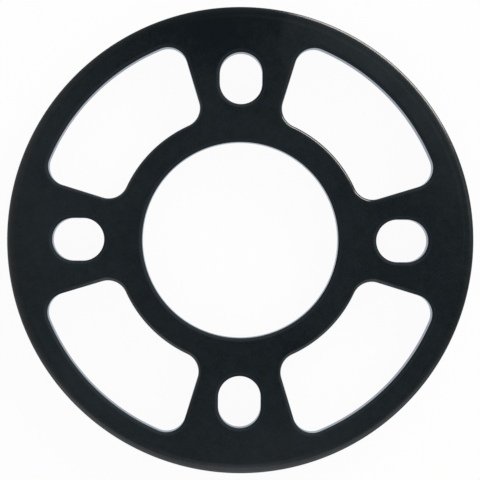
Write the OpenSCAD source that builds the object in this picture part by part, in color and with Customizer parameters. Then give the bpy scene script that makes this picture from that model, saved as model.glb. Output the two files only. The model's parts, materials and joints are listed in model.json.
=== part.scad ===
// Slip-on wheel spacer: one flat aluminium plate that sits between a wheel hub and a wheel.
// It has a bore for the hub's spigot, a radial slot for each wheel stud and a window between
// each two spokes. The studs pass through it, and the wheel nuts clamp it.
// The plate lies flat. The origin is the bore's centre on the lower face, with +Z along the bore
// and one stud slot on the +X axis.

/* [Plate] */
// Outside diameter of the plate
plate_d = 160; // [140:0.5:200]
// Thickness of the plate
plate_t = 7.9375; // [4:0.0125:25]
// Radius of the rounding along every edge, on both faces
edge_r = 1.5; // [0.4:0.1:2]

/* [Hub bore] */
// Diameter of the bore that slips over the hub's spigot
bore_d = 67.2; // [50:0.1:78]

/* [Stud slots] */
// Number of wheel studs
stud_count = 4; // [3:1:6]
// Bolt circle through the middle of the slots
stud_circle_d = 111.125; // [98:0.125:128]
// How far a stud can sit along its slot, from one end to the other
slot_travel = 3.175; // [0.5:0.025:8]
// Width across a slot
slot_w = 14.6; // [11:0.1:17]

/* [Windows] */
// Width of the outer ring, from the windows to the outside of the plate
rim_w = 8.95; // [6:0.05:14]
// Width of the hub ring, from the bore to the windows
hub_ring_w = 9.5; // [6:0.1:14]
// Angle between the two radial sides of a spoke
spoke_angle = 33.9; // [28:0.1:44]
// Radius of the windows' corners
window_corner_r = 6.7; // [4:0.1:9]

/* [Hidden] */
$fa = 6;
$fs = 1.8;
edge_facets = 16;

// Radii of the round edges about the plate's axis
plate_r = plate_d / 2;
bore_r = bore_d / 2;
window_outer_r = plate_r - rim_w;
window_inner_r = bore_r + hub_ring_w;

// Angles from one stud to the next, and from a window's middle to its sides
stud_pitch = 360 / stud_count;
window_half = (stud_pitch - spoke_angle) / 2;

// The cutter for a window's corner bites this far past the walls that it joins, and its edges run on
// by this angle
corner_bite = 0.03;
corner_lap = 12;

// Centres of a window's corners: distance from the plate's axis, and angle from the window's middle
corner_reach = window_corner_r - corner_bite;
corner_out = window_outer_r - corner_reach;
corner_in = window_inner_r + corner_reach;
corner_out_a = window_half - asin(corner_reach / corner_out);
corner_in_a = window_half - asin(corner_reach / corner_in);

// Where a window's straight side starts and ends, measured along it from the plate's axis
side_from = corner_in * cos(window_half - corner_in_a);
side_to = corner_out * cos(window_half - corner_out_a);

// The rounding's arc meets the face and the wall at this small angle, and its centre is this far in
edge_crease = 6;
edge_round = min(edge_r, 0.4 * plate_t);
edge_c = edge_round * cos(edge_crease);

// Through cuts reach this far past the faces, and edge cutters half as far past the face and the wall
past = 1;

slot_r = slot_w / 2;
stud_r = stud_circle_d / 2;

// What a rounded upper edge clears away. The wall is the line x = 0 with the plate at x > 0,
// and the upper face is the line y = plate_t.
module upper_edge() {
    translate([edge_c, plate_t - edge_c])
        difference() {
            translate([-edge_c - past / 2, 0])
                square(edge_c + past / 2);
            circle(edge_round, $fn = edge_facets);
        }
}

// The same for both edges of a wall
module wall_edges() {
    upper_edge();
    translate([0, plate_t])
        mirror([0, 1])
            upper_edge();
}

// Edges of a round wall that looks inwards, such as a bore's, from angle a to angle b
module hollow_edges(r, a, b) {
    rotate_extrude(angle = b - a, start = a)
        translate([r, 0])
            wall_edges();
}

// Edges of a round wall that looks outwards, such as a rim's, from angle a to angle b
module round_edges(r, a, b) {
    rotate_extrude(angle = b - a, start = a)
        translate([r, 0])
            mirror([1, 0])
                wall_edges();
}

// Edges of a straight wall on the Y axis that looks towards +X, from y = from to y = to
module straight_edges(from, to) {
    translate([0, to, 0])
        rotate([90, 0, 0])
            linear_extrude(to - from)
                mirror([1, 0])
                    wall_edges();
}

// A through cut between two radii, from angle a to angle b
module ring_cut(r1, r2, a, b) {
    rotate_extrude(angle = b - a, start = a)
        translate([r1, -past])
            square([r2 - r1, plate_t + 2 * past]);
}

// A round through cut
module drill(r) {
    translate([0, 0, -past])
        cylinder(r = r, h = plate_t + 2 * past);
}

// Places its children at both of a window's outer corners, with +X pointing away from the plate's axis
module at_outer_corners() {
    for (side = [0, 1])
        mirror([0, side, 0])
            rotate(corner_out_a)
                translate([corner_out, 0, 0])
                    children();
}

// The same for its inner corners
module at_inner_corners() {
    for (side = [0, 1])
        mirror([0, side, 0])
            rotate(corner_in_a)
                translate([corner_in, 0, 0])
                    children();
}

// Places its children along both of a window's radial sides, with +Y along the side and +X into the window
module at_sides() {
    for (side = [0, 1])
        mirror([0, side, 0])
            rotate(window_half - 90)
                children();
}

// One lightening window, with its middle on +X: two arcs about the plate's axis, two radial sides
// and four round corners
module window_cut() {
    ring_cut(corner_in, window_outer_r, -corner_out_a, corner_out_a);
    ring_cut(window_inner_r, corner_out, -corner_in_a, corner_in_a);
    at_outer_corners()
        drill(window_corner_r);
    at_inner_corners()
        drill(window_corner_r);
    at_sides()
        translate([0, side_from, -past])
            cube([2 * window_corner_r, side_to - side_from, plate_t + 2 * past]);
}

// The edges along a window's arcs and sides
module window_wall_edges() {
    hollow_edges(window_outer_r, -corner_out_a, corner_out_a);
    round_edges(window_inner_r, -corner_in_a, corner_in_a);
    at_sides()
        straight_edges(side_from, side_to);
}

// The edges round a window's corners
module window_corner_edges() {
    at_outer_corners()
        hollow_edges(window_corner_r, -corner_lap, 90 + window_half - corner_out_a + corner_lap);
    at_inner_corners()
        hollow_edges(window_corner_r, 90 + window_half - corner_in_a - corner_lap, 180 + corner_lap);
}

// Places its children at both ends of a slot, with +X pointing out of the slot
module at_slot_ends() {
    for (side = [0, 1])
        mirror([side, 0, 0])
            translate([slot_travel / 2, 0, 0])
                children();
}

// One stud slot, with its middle at the origin and its length along +X: two half-round ends and
// two straight sides
module slot_cut() {
    at_slot_ends()
        drill(slot_r);
    translate([-slot_travel / 2, -slot_r, -past])
        cube([slot_travel, slot_w, plate_t + 2 * past]);
}

// The edges round a slot's ends
module slot_end_edges() {
    at_slot_ends()
        hollow_edges(slot_r, -90, 90);
}

// The edges along a slot's straight sides
module slot_side_edges() {
    for (side = [0, 1])
        mirror([0, side, 0])
            translate([0, slot_r, 0])
                rotate(-90)
                    straight_edges(-slot_travel / 2, slot_travel / 2);
}

// Places its children at every stud, on the bolt circle with +X pointing outwards
module at_studs() {
    for (k = [0 : stud_count - 1])
        rotate(k * stud_pitch)
            translate([stud_r, 0, 0])
                children();
}

// Turns its children to the middle of every window
module at_windows() {
    for (k = [0 : stud_count - 1])
        rotate((k + 0.5) * stud_pitch)
            children();
}

// The round plate with its bore, turned with rounded edges
module turned_blank() {
    rotate_extrude()
        difference() {
            translate([bore_r, 0])
                square([plate_r - bore_r, plate_t]);
            translate([bore_r, 0])
                wall_edges();
            translate([plate_r, 0])
                mirror([1, 0])
                    wall_edges();
        }
}

// The blank with its slots and windows milled through
module milled_plate() {
    difference() {
        turned_blank();
        at_studs()
            slot_cut();
        at_windows()
            window_cut();
    }
}

// The milled plate with the long edges of its slots and windows rounded
module edged_plate() {
    difference() {
        milled_plate();
        at_studs()
            slot_side_edges();
        at_windows()
            window_wall_edges();
    }
}

// The finished plate, with the edges rounded at the slots' ends and the windows' corners too
module spacer_plate() {
    color([0.13, 0.14, 0.15])
        difference() {
            edged_plate();
            at_studs()
                slot_end_edges();
            at_windows()
                window_corner_edges();
        }
}

spacer_plate();
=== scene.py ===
import json
import math

import bmesh
import bpy
import numpy as np
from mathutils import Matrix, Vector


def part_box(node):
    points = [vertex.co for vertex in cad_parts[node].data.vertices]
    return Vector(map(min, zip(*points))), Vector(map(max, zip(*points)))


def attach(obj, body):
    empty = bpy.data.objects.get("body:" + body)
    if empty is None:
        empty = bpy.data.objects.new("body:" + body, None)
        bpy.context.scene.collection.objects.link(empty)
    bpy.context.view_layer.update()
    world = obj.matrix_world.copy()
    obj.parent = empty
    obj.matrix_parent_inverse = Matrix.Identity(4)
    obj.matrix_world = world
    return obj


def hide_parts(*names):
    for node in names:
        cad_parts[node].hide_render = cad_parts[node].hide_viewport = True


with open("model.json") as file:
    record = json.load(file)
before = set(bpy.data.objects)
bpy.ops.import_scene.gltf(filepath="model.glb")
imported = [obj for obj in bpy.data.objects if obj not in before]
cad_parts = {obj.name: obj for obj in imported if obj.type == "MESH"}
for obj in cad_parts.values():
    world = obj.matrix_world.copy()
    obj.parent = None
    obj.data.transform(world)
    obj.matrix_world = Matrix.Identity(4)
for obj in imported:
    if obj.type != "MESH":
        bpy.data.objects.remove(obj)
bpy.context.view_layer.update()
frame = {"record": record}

# Spacer plate: one disc cut from flat aluminium plate, with a hub bore, four radial stud slots and four
# windows milled right through it. Every edge is rounded over on both faces, and the whole plate is
# anodised satin black. Nothing holds it but the wheel nuts that clamp it.
mount_sizes = {mount["name"]: mount["dims"] for mount in frame["record"]["mounts"]}
slot_sizes = mount_sizes["stud_slots_x"]
low_corner, high_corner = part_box("spacer_plate")
plate_t = high_corner.z - low_corner.z
plate_r = high_corner.x
bore_r = mount_sizes["hub_bore"]["r_mm"] / 1000
stud_r = slot_sizes["spacing_x_mm"] / 2000
slot_r = slot_sizes["hole_r_mm"] / 1000
slot_travel = slot_sizes["slot_length_mm"] / 1000 - 2 * slot_r
rim_w = 0.00895
hub_ring_w = 0.0095
window_outer_r = plate_r - rim_w
window_inner_r = bore_r + hub_ring_w
window_corner_r = 0.0067
spoke_angle = math.radians(33.9)
edge_drop = 0.00134
rim_edge_run = 0.0038
inner_edge_run = 0.00134


def along_arc(centre, radius, start, stop, steps, metal_outside=True):
    """A round wall seen from above: centre + radius (cos a, sin a), with a running evenly from start to
    stop. Returns the points and the unit vectors that point from the wall into the metal."""
    a = np.linspace(start, stop, steps + 1)
    outward = np.stack([np.cos(a), np.sin(a)], axis=1)
    return np.asarray(centre) + radius * outward, outward if metal_outside else -outward


def along_line(first, last, steps):
    """Points spaced evenly on the straight line from first to last."""
    share = np.linspace(0, 1, steps + 1)[:, None]
    return (1 - share) * np.asarray(first) + share * np.asarray(last)


def at_angle(radius, angle):
    """The point at that distance from the plate's axis and at that angle from +X."""
    return np.array([radius * math.cos(angle), radius * math.sin(angle)])


def joined(*stretches):
    """Stretches of one wall end to end, each without its first point, which the one before it ends on.
    Returns the points and the vectors into the metal, as along_arc does."""
    return tuple(
        np.concatenate([stretches[0][i]] + [stretch[i][1:] for stretch in stretches[1:]]) for i in (0, 1)
    )


# An eighth of the plate lies between the middle of a window, on +X, and the middle of the next spoke. Part
# of a window's corner faces the slot's end, with as many steps, and the rest belongs to the ring beside it.
# The faces of the outer ring and the hub ring each end at a share of the eighth's angle, where the spoke's
# face begins.
half_pitch = math.radians(45)
rim_ring_share = 0.69
hub_ring_share = 0.62
rim_joint_a = rim_ring_share * half_pitch
hub_joint_a = hub_ring_share * half_pitch
arc_steps = 32
hub_arc_steps = 24
spoke_steps = 12
end_steps = 12
side_steps = 6
ring_corner_steps = 8
corner_steps = end_steps + ring_corner_steps
rim_steps = arc_steps + ring_corner_steps
hub_steps = hub_arc_steps + ring_corner_steps
axis = (0, 0)


def along_side(first_end, last_end):
    """The straight wall from the end of one round wall to the start of the next, which face alike."""
    points = along_line(first_end[0][-1], last_end[0][0], side_steps)
    return points, np.broadcast_to(first_end[1][-1], points.shape)


# The window's wall, from the middle of its outer arc round one side to the middle of its inner arc
window_half = half_pitch - spoke_angle / 2
outer_corner_r = window_outer_r - window_corner_r
inner_corner_r = window_inner_r + window_corner_r
outer_corner_a = window_half - math.asin(window_corner_r / outer_corner_r)
inner_corner_a = window_half - math.asin(window_corner_r / inner_corner_r)
side_facing = window_half + math.pi / 2
outer_corner = along_arc(
    at_angle(outer_corner_r, outer_corner_a),
    window_corner_r,
    outer_corner_a,
    side_facing,
    corner_steps,
)
inner_corner = along_arc(
    at_angle(inner_corner_r, inner_corner_a),
    window_corner_r,
    side_facing,
    math.pi + inner_corner_a,
    corner_steps,
)
window_wall = joined(
    along_arc(axis, window_outer_r, 0, outer_corner_a, arc_steps),
    outer_corner,
    along_side(outer_corner, inner_corner),
    inner_corner,
    along_arc(axis, window_inner_r, inner_corner_a, 0, hub_arc_steps, metal_outside=False),
)

# Half of the slot's wall, from its outer end to its inner end, and the walls of the rim and the bore
slot_out = half_pitch
slot_sideways = half_pitch - math.pi / 2
slot_in = half_pitch - math.pi
slot_outer_end = along_arc(
    at_angle(stud_r + slot_travel / 2, half_pitch), slot_r, slot_out, slot_sideways, end_steps
)
slot_inner_end = along_arc(
    at_angle(stud_r - slot_travel / 2, half_pitch), slot_r, slot_sideways, slot_in, end_steps
)
slot_wall = joined(slot_outer_end, along_side(slot_outer_end, slot_inner_end), slot_inner_end)
rim_wall = joined(
    along_arc(axis, plate_r, 0, rim_joint_a, rim_steps, metal_outside=False),
    along_arc(axis, plate_r, rim_joint_a, half_pitch, spoke_steps, metal_outside=False),
)
bore_wall = joined(
    along_arc(axis, bore_r, 0, hub_joint_a, hub_steps),
    along_arc(axis, bore_r, hub_joint_a, half_pitch, spoke_steps),
)

# The section of a wall and its two edges, from the upper face to the lower one: how far in from the wall,
# as a share of the edge's run along the face, how high, and how far the surface has turned from the face
# (0) to the wall (1). Each edge is a quarter ellipse, and narrow strips beside it keep face and wall flat.
edge_steps = 14
flat_strip = 0.0003
turn = np.linspace(0, 1, edge_steps + 1)
edge = np.stack(
    [1 - np.sin(turn * math.pi / 2), plate_t - edge_drop * (1 - np.cos(turn * math.pi / 2)), turn], axis=1
)
upper_half = np.concatenate([edge, [(0, plate_t - edge_drop - flat_strip, 1)]])
wall_section = np.concatenate([upper_half, upper_half[::-1] * (1, -1, 1) + (0, plate_t, 0)])


def carried(wall, run, polish):
    """The section carried along a wall: row i, column j lies in from the wall's j-th point by the section's
    i-th share of the run, at the section's i-th height. Returns the grid, how far it has turned and how
    smooth it is."""
    points, into_metal = wall
    inset = wall_section[:, 0] * run
    plan = points[None] + inset[:, None, None] * into_metal[None]
    height, turned = (np.broadcast_to(wall_section[:, i, None], plan.shape[:2]) for i in (1, 2))
    return np.dstack([plan, height]), turned, np.broadcast_to(polish, plan.shape[:2])


def face_strips(wall, run):
    """The narrow flat strips of both faces beside a wall's edges, from the run to a little further in."""
    points, into_metal = wall
    inset = np.array([run + flat_strip, run])
    plan = points[None] + inset[:, None, None] * into_metal[None]
    flat = np.zeros(plan.shape[:2])
    return [(np.dstack([plan, flat + height]), flat, flat) for height in (plate_t, 0)]


def filled(left, right, top, bottom, height):
    """A flat patch between four paths. Lines from left to right and lines from top to bottom, both spaced
    evenly, are added, and the lines between the four corners, counted twice, are taken away."""
    down = np.linspace(0, 1, len(left))[:, None, None]
    across = np.linspace(0, 1, len(top))[None, :, None]
    by_rows = (1 - across) * left[:, None] + across * right[:, None]
    by_columns = (1 - down) * top[None] + down * bottom[None]
    upper = (1 - across) * top[0] + across * top[-1]
    lower = (1 - across) * bottom[0] + across * bottom[-1]
    plan = by_rows + by_columns - (1 - down) * upper - down * lower
    flat = np.zeros(plan.shape[:2])
    return np.dstack([plan, flat + height]), flat, flat


# The rim's edge is eased over further along the face than the others. Edges that look outwards, along the
# rim and along the windows' inner arcs, are rubbed smooth (1). The others are left dull (0), and a window's
# straight side passes from dull to smooth.
side_start = arc_steps + corner_steps
window_polish = np.interp(np.arange(len(window_wall[0])), [side_start, side_start + side_steps], [0, 1])
edged_walls = [
    (rim_wall, rim_edge_run, 1),
    (window_wall, inner_edge_run, window_polish),
    (slot_wall, inner_edge_run, 0),
    (bore_wall, inner_edge_run, 0),
]

# The flat faces: a patch between window and rim, one between window and bore, and one that fills the spoke
# round the slot. Each ends where the strips beside the rounded edges begin.
ring_steps = 4
rim_line, window_line, slot_line, bore_line = (
    points + (run + flat_strip) * into_metal for (points, into_metal), run, _ in edged_walls
)
window_outer_line = window_line[: rim_steps + 1]
window_inner_line = window_line[: -hub_steps - 2 : -1]
rim_joint = along_line(rim_line[rim_steps], window_outer_line[-1], ring_steps)
hub_joint = along_line(window_inner_line[-1], bore_line[hub_steps], ring_steps)
window_flank = window_line[rim_steps : len(window_line) - hub_steps]
spoke_outer_line = along_line(rim_line[-1], slot_line[0], ring_steps)
spoke_inner_line = along_line(slot_line[-1], bore_line[-1], ring_steps)
faces_at = [
    (
        along_line(rim_line[0], window_outer_line[0], ring_steps),
        rim_joint,
        rim_line[: rim_steps + 1],
        window_outer_line,
    ),
    (
        along_line(window_inner_line[0], bore_line[0], ring_steps),
        hub_joint,
        window_inner_line,
        bore_line[: hub_steps + 1],
    ),
    (
        np.concatenate([rim_joint, window_flank[1:-1], hub_joint]),
        np.concatenate([spoke_outer_line, slot_line[1:-1], spoke_inner_line]),
        rim_line[rim_steps:],
        bore_line[hub_steps:],
    ),
]
eighth = [carried(*edged_wall) for edged_wall in edged_walls]
eighth += [strip for wall, run, _ in edged_walls for strip in face_strips(wall, run)]
eighth += [filled(*paths, height) for paths in faces_at for height in (plate_t, 0)]


def grid_faces(rows, columns):
    """The four corners of each face of a grid, numbered row by row."""
    number = np.arange(rows * columns).reshape(rows, columns)
    corners = [number[:-1, :-1], number[:-1, 1:], number[1:, 1:], number[1:, :-1]]
    return np.stack(corners, axis=2).reshape(-1, 4)


# All eight eighths are the same but for a turn to their window's middle, at every odd multiple of half the
# pitch, and, for every other one, a mirror image. Their shared points are merged, and the faces are then
# turned outwards.
weld_distance = 1e-6
points, turns, polishes, faces = [], [], [], []
point_count = 0
for middle in half_pitch * np.arange(1, 9, 2):
    turned_by = np.array(
        [[math.cos(middle), math.sin(middle), 0], [-math.sin(middle), math.cos(middle), 0], [0, 0, 1]]
    )
    for mirrored in (1, -1):
        for grid, turned, polish in eighth:
            points.append((grid * (1, mirrored, 1)).reshape(-1, 3) @ turned_by)
            turns.append(turned.ravel())
            polishes.append(polish.ravel())
            faces.append(point_count + grid_faces(*turned.shape)[:, ::mirrored])
            point_count += turned.size
plate_mesh = bpy.data.meshes.new("spacer_plate_anodised")
plate_mesh.from_pydata(np.concatenate(points), [], np.concatenate(faces))
for name, values in (("turn", turns), ("polish", polishes)):
    attribute = plate_mesh.attributes.new(name, "FLOAT", "POINT")
    attribute.data.foreach_set("value", np.concatenate(values).astype(np.float32))
shell = bmesh.new()
shell.from_mesh(plate_mesh)
bmesh.ops.remove_doubles(shell, verts=shell.verts, dist=weld_distance)
bmesh.ops.recalc_face_normals(shell, faces=shell.faces)
shell.to_mesh(plate_mesh)
shell.free()
plate_mesh.polygons.foreach_set("use_smooth", np.ones(len(plate_mesh.polygons), bool))
plate = bpy.data.objects.new("spacer_plate_anodised", plate_mesh)
bpy.context.scene.collection.objects.link(plate)


class Socket:
    """One output of a node. Sums, differences and products with numbers and other sockets add Math nodes,
    and node() adds any other node to the same tree."""

    def __init__(self, tree, output=None):
        self.tree = tree
        self.output = output

    def node(self, kind, sockets, output=0, **settings):
        """Adds a node: its settings are set first, then its sockets get their values or links."""
        added = self.tree.nodes.new(kind)
        for name, value in settings.items():
            setattr(added, name, value)
        for name, value in sockets.items():
            if isinstance(value, Socket):
                self.tree.links.new(value.output, added.inputs[name])
            else:
                added.inputs[name].default_value = value
        return Socket(self.tree, added.outputs[output] if added.outputs else None)

    def math(self, operation, first, second):
        """A Math node on two values."""
        return self.node("ShaderNodeMath", {0: first, 1: second}, operation=operation)

    def mix(self, share, first, second):
        """A Mix node on two colours, which go by number: the first at share 0 and the second at share 1."""
        return self.node("ShaderNodeMix", {0: share, 6: first, 7: second}, output=2, data_type="RGBA")

    def __add__(self, other):
        return self.math("ADD", self, other)

    def __radd__(self, other):
        return self.math("ADD", other, self)

    def __sub__(self, other):
        return self.math("SUBTRACT", self, other)

    def __rsub__(self, other):
        return self.math("SUBTRACT", other, self)

    def __mul__(self, other):
        return self.math("MULTIPLY", self, other)

    def __rmul__(self, other):
        return self.math("MULTIPLY", other, self)


def new_finish(name):
    """An empty material, and a socket to add its nodes from."""
    finish = bpy.data.materials.new(name)
    finish.use_nodes = True
    finish.node_tree.nodes.clear()
    return finish, Socket(finish.node_tree)


# The finish: dark blue-grey dye under a thin clear seal. The dye took unevenly: it is finely grained, mottled
# a few millimetres across and clouded over a few centimetres. Edges rubbed smooth are painted a little
# darker, as painted shade, and dull edges are painted a paler blue-grey, as a painted reflection, and have no
# seal.
dye_deep = (0.0030, 0.0062, 0.0086, 1)
dye_pale = (0.0171, 0.0231, 0.0275, 1)
# The dull edges' colour is a painted reflection: paler and bluer than the dye.
dull_edge_painted_reflection = (0.0200, 0.0262, 0.0320, 1)
cloud_scale = 42
cloud_share = 0.5
mottle_scale = 300
mottle_share = 0.6
grain_scale = 1600
grain_share = 0.7
# How much darker the edges rubbed smooth are painted: painted shade.
smooth_edge_painted_shade = 0.14
face_to_edge = (0, 0.2)
edge_to_wall = (0.75, 0.95)
dye_roughness = 0.6
seal_roughness = 0.18
seal_ior = 1.45
least_seal = 0.70
seal_cloud_share = 0.30
seal_mottle_share = 0.20
texture_strength = 0.25
texture_height = 0.00002
texture_grain_share = 0.5

# Larger places where the colour is deeper or paler: x and y of the middle, how far it is at its full
# strength, how far it reaches, and the strength. The two pale ones on the upper right, towards the key lamp,
# are painted sheen; the rest are uneven dye.
deep_patches = [
    (-0.013, 0.090, 0, 0.057, 0.72),
    (0.060, -0.010, 0, 0.062, 0.22),
    (0.013, -0.038, 0, 0.030, 0.18),
    (0.011, -0.066, 0, 0.024, 0.14),
]
pale_patches_and_painted_sheen = [
    (-0.078, 0.018, 0, 0.046, 0.26),
    (-0.058, -0.052, 0, 0.055, 0.36),
    (0.018, -0.080, 0, 0.044, 0.29),
    # These two, on the upper right towards the key lamp, are painted sheen.
    (0.061, 0.044, 0, 0.036, 0.36),
    (0.034, 0.067, 0.019, 0.0222, 0.24),
    (-0.012, 0.052, 0, 0.014, 0.22),
]

anodised, finish_nodes = new_finish("anodised_black")
place = finish_nodes.node("ShaderNodeTexCoord", {}, output="Object")
edge_turn, edge_polish = (
    finish_nodes.node("ShaderNodeAttribute", {}, output="Fac", attribute_name=name)
    for name in ("turn", "polish")
)


def noise(scale, detail, roughness):
    """Soft spots between 0 and 1, about scale of them to the metre, with detail layers of finer ones."""
    return finish_nodes.node(
        "ShaderNodeTexNoise", {"Vector": place, "Scale": scale, "Detail": detail, "Roughness": roughness}
    )


def eased(value, low, high):
    """An S-shaped step: 0 where the value is low, 1 where it is high."""
    return finish_nodes.node(
        "ShaderNodeMapRange",
        {"Value": value, "From Min": low, "From Max": high},
        interpolation_type="SMOOTHSTEP",
    )


def patch(x, y, core, reach, strength):
    """A soft round patch of deeper or paler colour, of uneven dye or of painted sheen as the lists say: at
    full strength up to its core's distance from x, y on the upper face, and nothing from its reach on."""
    distance = finish_nodes.node(
        "ShaderNodeVectorMath", {0: place, 1: (x, y, plate_t)}, output="Value", operation="DISTANCE"
    )
    return strength * eased(distance, reach, core)


clouds = noise(cloud_scale, detail=4, roughness=0.55)
mottle = noise(mottle_scale, detail=4, roughness=0.65)
grain = noise(grain_scale, detail=2, roughness=0.5)
paleness = cloud_share * clouds + mottle_share * mottle + grain_share * grain
for place_and_size in pale_patches_and_painted_sheen:
    paleness = paleness + patch(*place_and_size)
for place_and_size in deep_patches:
    paleness = paleness - patch(*place_and_size)
on_edge = eased(edge_turn, *face_to_edge) - eased(edge_turn, *edge_to_wall)
# On edges rubbed smooth the colour is painted darker: painted shade.
smooth = edge_polish * on_edge
# On dull edges the colour gives way to a painted reflection, and the seal is left off.
dull = (1 - edge_polish) * on_edge
middle_paleness = (cloud_share + mottle_share + grain_share) / 2
tint = finish_nodes.node(
    "ShaderNodeMapRange",
    {
        "Value": paleness - smooth_edge_painted_shade * smooth,
        "From Min": middle_paleness - 0.5,
        "From Max": middle_paleness + 0.5,
    },
)
# The base colour: the dye's tones, with painted shade on smooth edges, painted sheen in two patches and a
# painted reflection on dull edges.
dye_and_painted_light = finish_nodes.mix(dull, finish_nodes.mix(tint, dye_deep, dye_pale), dull_edge_painted_reflection)
seal = (1 - dull) * (least_seal + seal_cloud_share * clouds + seal_mottle_share * mottle)
texture = finish_nodes.node(
    "ShaderNodeBump",
    {
        "Height": texture_grain_share * grain + mottle,
        "Strength": texture_strength,
        "Distance": texture_height,
    },
)
surface = finish_nodes.node(
    "ShaderNodeBsdfPrincipled",
    {
        "Base Color": dye_and_painted_light,
        "Roughness": dye_roughness,
        "Specular IOR Level": 0,
        "Coat Weight": seal,
        "Coat Roughness": seal_roughness,
        "Coat IOR": seal_ior,
        "Normal": texture,
    },
)
finish_nodes.node("ShaderNodeOutputMaterial", {"Surface": surface})
plate_mesh.materials.append(anodised)
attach(plate, "root")
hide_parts("spacer_plate")

# Floor: a plain pale tabletop that the plate lies on. To the eye it is mostly white of its own, in
# reflections a cooler white, and the rest of it takes the light and the plate's soft shadow.
floor_half = 12
own_share = 0.95
seen_white = (1, 1, 1, 1)
mirrored_white = (0.80, 0.88, 1, 1)
matt_white = (0.86, 0.86, 0.86, 1)
floor_corners = [(x * floor_half, y * floor_half, 0) for x, y in ((-1, -1), (1, -1), (1, 1), (-1, 1))]
floor_mesh = bpy.data.meshes.new("floor")
floor_mesh.from_pydata(floor_corners, [], [(0, 1, 2, 3)])
floor = bpy.data.objects.new("floor", floor_mesh)
bpy.context.scene.collection.objects.link(floor)
tabletop, floor_nodes = new_finish("pale_tabletop")
seen, mirrored_in, through = (
    floor_nodes.node("ShaderNodeLightPath", {}, output=kind)
    for kind in ("Is Camera Ray", "Is Glossy Ray", "Is Transmission Ray")
)
matt = floor_nodes.node("ShaderNodeBsdfDiffuse", {"Color": matt_white})
own_colour = floor_nodes.mix(mirrored_in, seen_white, mirrored_white)
own_light = floor_nodes.node("ShaderNodeEmission", {"Color": own_colour, "Strength": 1})
tabletop_surface = floor_nodes.node(
    "ShaderNodeMixShader", {0: own_share * (seen + mirrored_in + through), 1: matt, 2: own_light}
)
floor_nodes.node("ShaderNodeOutputMaterial", {"Surface": tabletop_surface})
floor_mesh.materials.append(tabletop)

# Studio light: a room with a dark ceiling and pale walls, palest on the left and in front. A strong warm
# soft box stands low on the right behind the plate, a broad cool one in front, and four faint ones fill in
# from high in front, the left, the right and overhead.
ceiling_colour = (0.92, 0.96, 1, 1)
ceiling_strength = 0.09
wall_colour = (1, 0.98, 0.95, 1)
wall_strength = 1.4
wall_share = 0.6
wall_share_change = 0.4
right_and_back = (0.7, 0.7, 0)
room = bpy.data.worlds.new("studio_room")
room.use_nodes = True
room.node_tree.nodes.clear()
room_nodes = Socket(room.node_tree)
direction = room_nodes.node("ShaderNodeTexCoord", {}, output="Generated")
rise = room_nodes.node("ShaderNodeSeparateXYZ", {"Vector": direction}, output="Z")
lowness = 1 - room_nodes.math("MAXIMUM", rise, 0)
towards_right_back = room_nodes.node(
    "ShaderNodeVectorMath", {0: direction, 1: right_and_back}, output="Value", operation="DOT_PRODUCT"
)
ceiling = room_nodes.node("ShaderNodeBackground", {"Color": ceiling_colour, "Strength": ceiling_strength})
walls = room_nodes.node("ShaderNodeBackground", {"Color": wall_colour, "Strength": wall_strength})
wall_part = lowness * (wall_share - wall_share_change * towards_right_back)
around = room_nodes.node("ShaderNodeMixShader", {0: wall_part, 1: ceiling, 2: walls})
room_nodes.node("ShaderNodeOutputWorld", {"Surface": around})
bpy.context.scene.world = room


def soft_box(name, azimuth, elevation, distance, width, height, colour, power):
    """A rectangular lamp that faces the plate. Azimuth is measured from +X towards +Y, in degrees, and
    elevation from the floor."""
    lamp = bpy.data.lights.new(name, "AREA")
    lamp.shape = "RECTANGLE"
    lamp.size = width
    lamp.size_y = height
    lamp.color = colour
    lamp.energy = power
    turn_a, rise_a = math.radians(azimuth), math.radians(elevation)
    stand = bpy.data.objects.new(name, lamp)
    stand.location = (
        distance * math.cos(rise_a) * math.cos(turn_a),
        distance * math.cos(rise_a) * math.sin(turn_a),
        distance * math.sin(rise_a),
    )
    stand.rotation_euler = (math.pi / 2 - rise_a, 0, turn_a + math.pi / 2)
    bpy.context.scene.collection.objects.link(stand)


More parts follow.
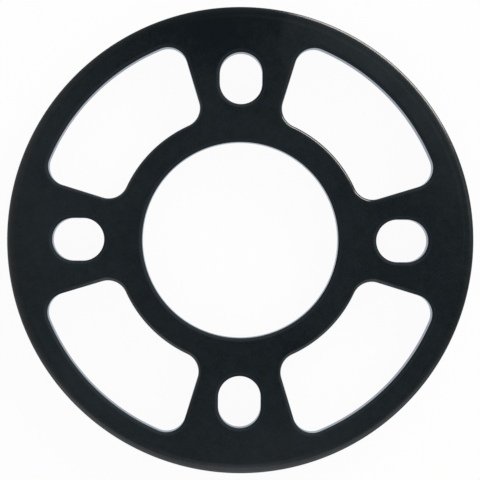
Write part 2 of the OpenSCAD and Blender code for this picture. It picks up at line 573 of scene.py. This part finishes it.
warm_white = (1, 0.96, 0.88)
cool_white = (0.92, 0.96, 1)
soft_box(
    "key",
    azimuth=52, elevation=15.5, distance=1.4,
    width=1.15, height=0.6,
    colour=warm_white, power=31,
)
soft_box(
    "front_low",
    azimuth=-90, elevation=34, distance=1.6,
    width=3.6, height=1.36,
    colour=cool_white, power=12.8,
)
soft_box(
    "front_high",
    azimuth=-90, elevation=62, distance=1.6,
    width=0.4, height=0.6,
    colour=cool_white, power=0.42,
)
soft_box(
    "left_fill",
    azimuth=176, elevation=50, distance=1.6,
    width=1.5, height=1.2,
    colour=(0.96, 0.98, 1), power=0.62,
)
soft_box(
    "side_fill",
    azimuth=20, elevation=36, distance=1.5,
    width=0.8, height=0.5,
    colour=(1, 0.96, 0.90), power=0.80,
)
soft_box(
    "overhead",
    azimuth=47, elevation=73, distance=1.5,
    width=0.7, height=0.26,
    colour=(1, 0.99, 0.98), power=0.14,
)

# Camera: looks straight down from a little to the left of the plate's middle and in front of it, turned a
# third of a degree, with the lens shifted so that the plate fills the square frame but for a narrow margin.
frame_px = 480
plate_px = 466.4
middle_px = np.array([240.24, 240.10])
camera_height = 0.600
camera_foot = np.array([-0.0086, -0.0034])
camera_roll = math.radians(0.31)
nearest_seen = 0.01
rim_height = plate_t - edge_drop
metres_per_px = 2 * plate_r / plate_px
eye = bpy.data.cameras.new("camera")
eye.sensor_fit = "HORIZONTAL"
eye.lens = eye.sensor_width * (camera_height - rim_height) / (frame_px * metres_per_px)
eye.clip_start = nearest_seen
picture_right = np.array([math.cos(camera_roll), math.sin(camera_roll)])
picture_up = np.array([-math.sin(camera_roll), math.cos(camera_roll)])
eye.shift_x = 0.5 - (middle_px[0] + camera_foot @ picture_right / metres_per_px) / frame_px
eye.shift_y = (middle_px[1] - camera_foot @ picture_up / metres_per_px) / frame_px - 0.5
camera = bpy.data.objects.new("camera", eye)
camera.location = (*camera_foot, camera_height)
camera.rotation_euler = (0, 0, camera_roll)
bpy.context.scene.collection.objects.link(camera)
bpy.context.scene.camera = camera
bpy.context.scene.view_settings.view_transform = "Standard"
